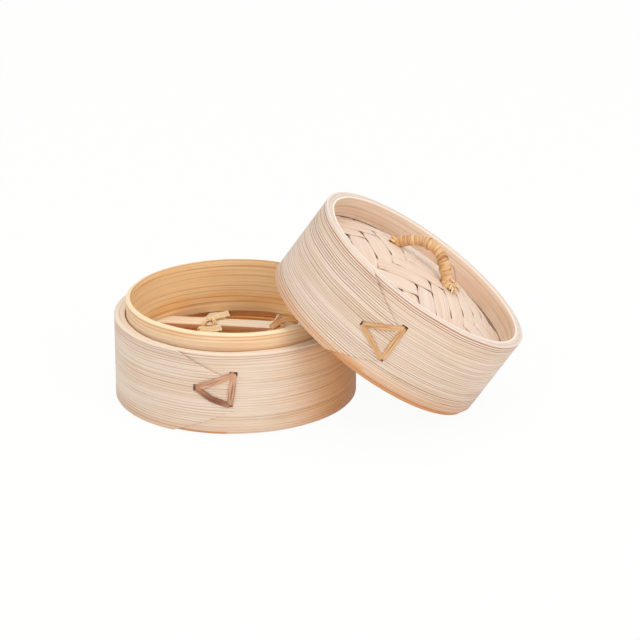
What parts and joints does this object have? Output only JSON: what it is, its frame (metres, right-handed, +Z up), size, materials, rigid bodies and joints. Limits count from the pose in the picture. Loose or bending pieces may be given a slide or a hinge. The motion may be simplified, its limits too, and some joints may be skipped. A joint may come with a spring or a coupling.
{
  "type": "bamboo steamer",
  "caption": "Small round bamboo steamer tier with a slatted grate, its domed woven lid with a rattan loop handle taken off and leaning against the tier.",
  "frame": {"origin": "middle of the whole outline on the table, with the lid leaning on the tier", "axes": "+X to the right along the longest extent, from the tier to the lid, +Y away from the front with the laps and stitches, +Z up along the tier's axis"},
  "size_m": [0.1666, 0.1158, 0.0862],
  "materials": {
    "bamboo": "scraped bamboo strip, pale cream, fine grain along the hoop, satin to matt",
    "inner_bamboo": "scraped bamboo strip from the inside of the stem, warm tan, matt",
    "woven_bamboo": "thin split bamboo strips woven over and under, cream, matt",
    "dull_rattan": "flat split rattan, pinkish brown, dark in its folds",
    "golden_rattan": "split rattan, golden brown, slightly glossy on its outer skin",
    "leaf": "dry bamboo leaf, matt"
  },
  "bodies": {
    "tier": {"tier_outer_hoop": "bamboo", "tier_collar": "inner_bamboo", "tier_lower_hoop": "inner_bamboo", "tier_stitch": "dull_rattan", "grate_slat_1": "bamboo", "grate_slat_2": "bamboo", "grate_slat_3": "bamboo", "grate_slat_4": "bamboo", "grate_bar_left": "inner_bamboo", "grate_bar_right": "inner_bamboo", "grate_lashing_1_left": "golden_rattan", "grate_lashing_1_right": "golden_rattan", "grate_lashing_2_left": "golden_rattan", "grate_lashing_2_right": "golden_rattan", "grate_lashing_3_left": "golden_rattan", "grate_lashing_3_right": "golden_rattan", "grate_lashing_4_left": "golden_rattan", "grate_lashing_4_right": "golden_rattan"},
    "lid": {"lid_outer_hoop": "bamboo", "lid_top_ring": "inner_bamboo", "lid_lower_ring": "inner_bamboo", "lid_woven_top": "woven_bamboo", "lid_leaf_liner": "leaf", "lid_woven_underside": "woven_bamboo", "lid_handle_core": "golden_rattan", "lid_handle_wrap": "golden_rattan", "lid_handle_binding_left": "golden_rattan", "lid_handle_binding_right": "golden_rattan", "lid_stitch": "golden_rattan"}
  },
  "joints": [
    {"name": "lid_lift", "type": "slide", "parent": "tier", "child": "lid", "axis": [0, 0, 1], "range_m": [0, 0.1]}
  ]
}
